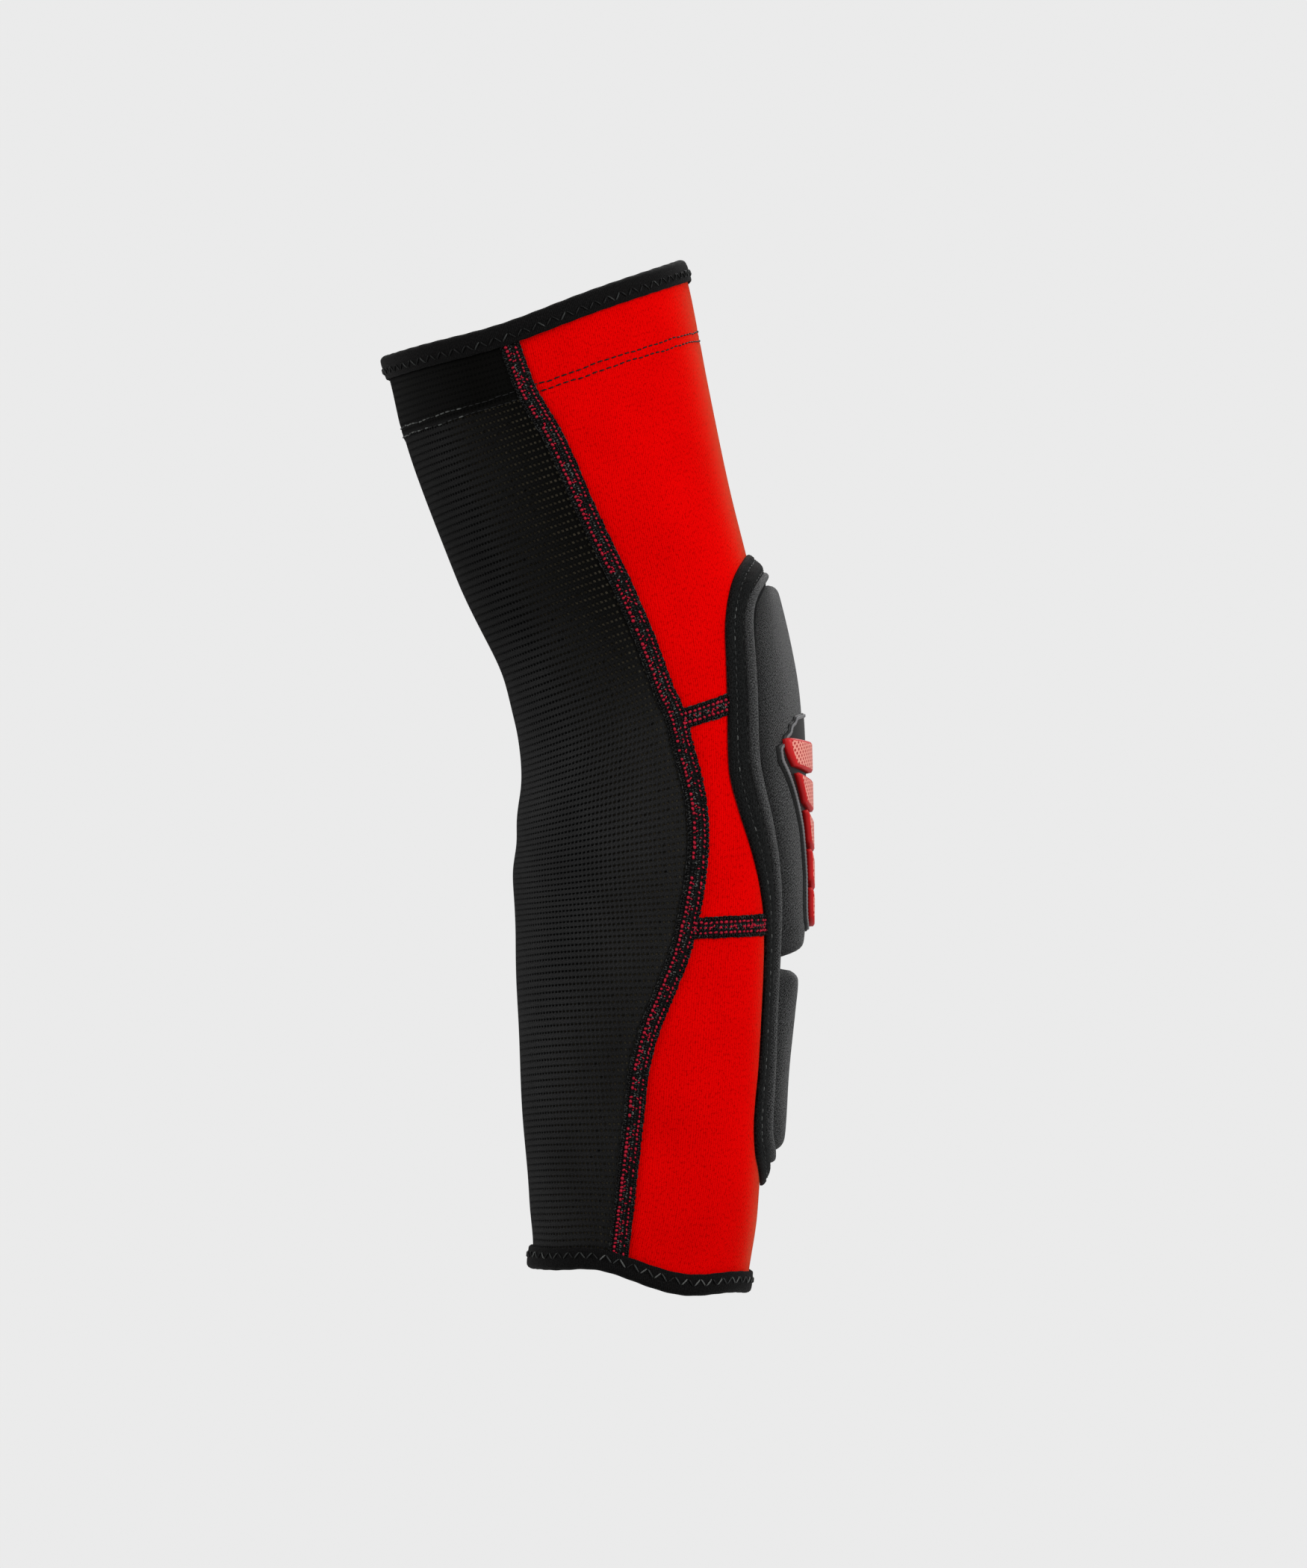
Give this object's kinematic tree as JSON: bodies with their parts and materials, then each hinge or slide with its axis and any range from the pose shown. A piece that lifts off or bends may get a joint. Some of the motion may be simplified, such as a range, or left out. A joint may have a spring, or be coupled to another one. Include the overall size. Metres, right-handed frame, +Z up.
{
  "type": "padded elbow and forearm guard sleeve",
  "caption": "Slip-on pre-bent knit sleeve with a long soft pad behind the elbow and forearm, flatlock seams, folded hems and a moulded chevron badge; it bends at the elbow.",
  "frame": {"origin": "centre of the elbow inside the sleeve, on the axis it bends about", "axes": "+Z up the arm towards the upper hem; +X out of the back of the elbow, where the pad is; +Y across, along the axis the elbow bends about"},
  "size_m": [0.1294, 0.0966, 0.3073],
  "materials": {
    "mesh_knit": "matte open mesh knit",
    "red_knit": "matte fine ribbed knit",
    "hem_tape": "matte folded tape",
    "elastic": "matte ribbed elastic",
    "silicone": "soft satin",
    "black_thread": "satin thread",
    "seam_thread": "satin thread, black and red",
    "flange_knit": "matte fine knit",
    "pad_cloth": "matte pebbled cloth",
    "foam": "matte foam",
    "badge_black": "satin soft rubber",
    "badge_grey": "satin soft rubber",
    "badge_red": "satin soft rubber"
  },
  "bodies": {
    "upper_arm": {"upper_mesh_panel": "mesh_knit", "upper_back_panel": "red_knit", "upper_hem_binding": "hem_tape", "upper_hem_zigzag": "black_thread", "gripper_band": "elastic", "silicone_grip_lines": "silicone", "gripper_band_stitches": "black_thread", "upper_flatlock_seams": "seam_thread", "upper_cross_seam": "seam_thread", "elbow_mesh_panel": "mesh_knit", "elbow_gusset": "red_knit", "elbow_flatlock_seams": "seam_thread"},
    "forearm": {"forearm_mesh_panel": "mesh_knit", "forearm_back_panel": "red_knit", "lower_hem_binding": "hem_tape", "lower_hem_zigzag": "black_thread", "forearm_flatlock_seams": "seam_thread", "lower_cross_seam": "seam_thread", "pad_flange": "flange_knit", "pad_outer_stitch": "black_thread", "pad_inner_stitch": "black_thread", "pad_rim": "pad_cloth", "elbow_pad_cover": "pad_cloth", "forearm_pad_cover": "pad_cloth", "elbow_foam_core": "foam", "forearm_foam_core": "foam", "badge_base": "badge_black", "badge_frame": "badge_grey", "badge_blocks": "badge_red"}
  },
  "joints": [
    {"name": "elbow_flex", "type": "hinge", "parent": "upper_arm", "child": "forearm", "pos_m": [0, 0, 0], "axis": [0, 1, 0], "range_deg": [-18, 75], "stiffness_Nm_per_rad": 0.25, "deforming": ["elbow_mesh_panel", "elbow_gusset", "elbow_flatlock_seams", "upper_cross_seam", "pad_flange", "pad_outer_stitch", "pad_inner_stitch", "pad_rim", "elbow_pad_cover", "elbow_foam_core", "badge_base", "badge_frame", "badge_blocks"]}
  ]
}
